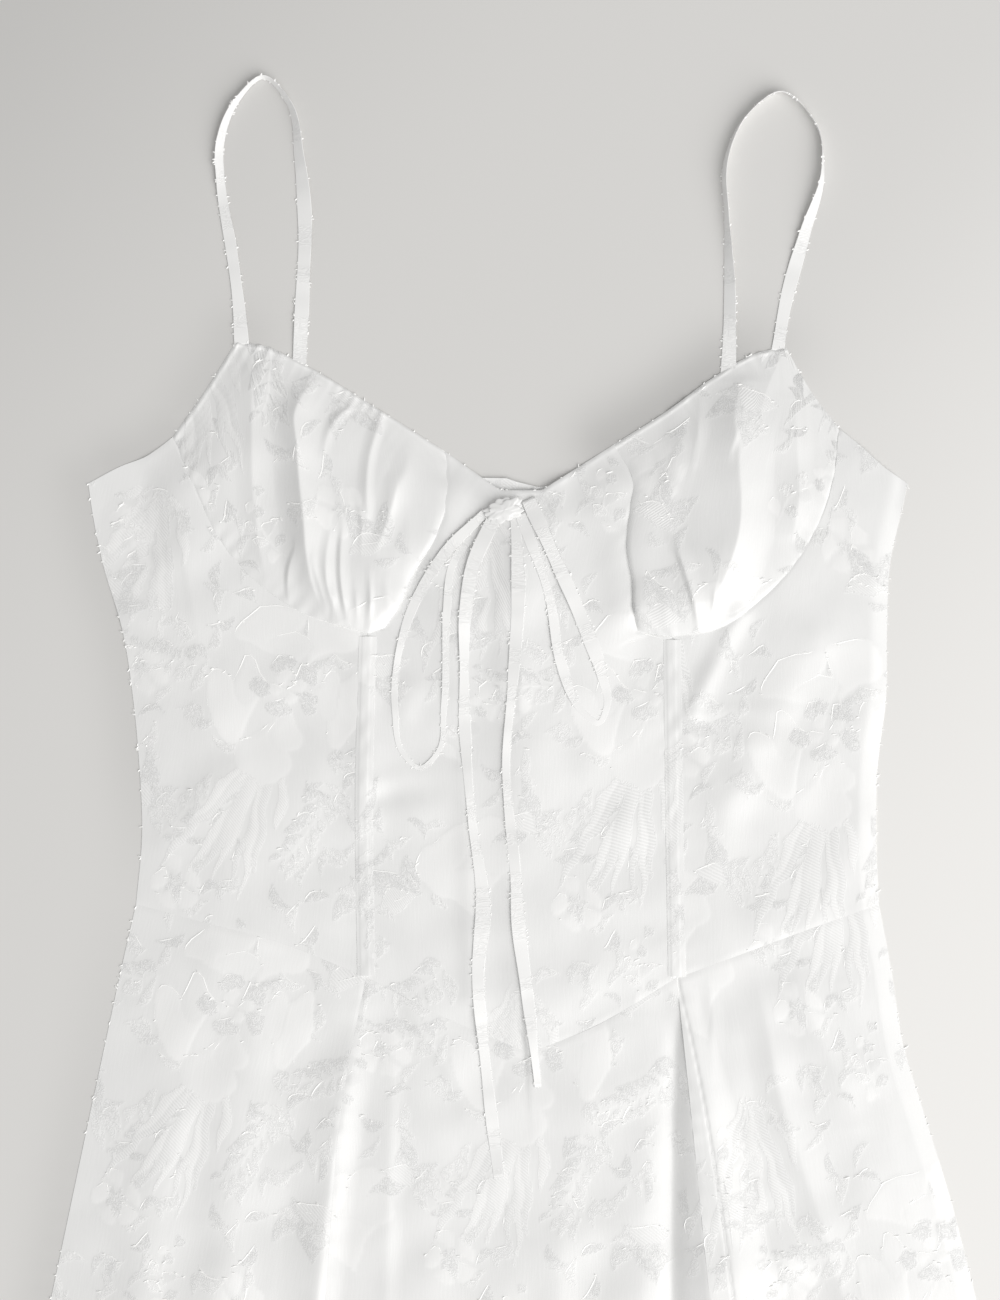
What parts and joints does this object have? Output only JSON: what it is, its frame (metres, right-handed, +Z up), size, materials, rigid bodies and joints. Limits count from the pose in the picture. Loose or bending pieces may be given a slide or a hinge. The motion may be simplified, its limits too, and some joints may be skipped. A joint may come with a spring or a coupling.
{
  "type": "midi dress",
  "caption": "Midi slip dress in jacquard satin, laid flat: gathered cups on thin straps, a tie at the neck, a boned bodice with a pointed waist seam, and a long gored skirt.",
  "frame": {"origin": "under the middle of the dress as it lies, on the surface that carries it; its box is measured without the tie's loops and tails", "axes": "+Y from the hem to the neck, along the dress; +Z up, from the back panels to the front ones; +X to the right as seen from above, which is the wearer's left"},
  "size_m": [0.7036, 1.18, 0.0129],
  "materials": {
    "satin": "white jacquard satin with clipped threads",
    "trim": "white satin"
  },
  "bodies": {
    "root": {"bodice_front_centre": "satin", "bodice_side_left": "satin", "bodice_side_right": "satin", "cup_left": "satin", "cup_right": "satin", "skirt_front_centre": "satin", "skirt_front_left": "satin", "skirt_front_right": "satin", "bodice_back_left": "satin", "bodice_back_right": "satin", "skirt_back_left": "satin", "skirt_back_right": "satin", "boning_channel_left": "trim", "boning_channel_right": "trim", "strap_left": "trim", "strap_right": "trim", "tie_knot": "trim", "tie_loop_left": "trim", "tie_loop_right": "trim", "tie_tail_left": "trim", "tie_tail_right": "trim"}
  },
  "joints": []
}
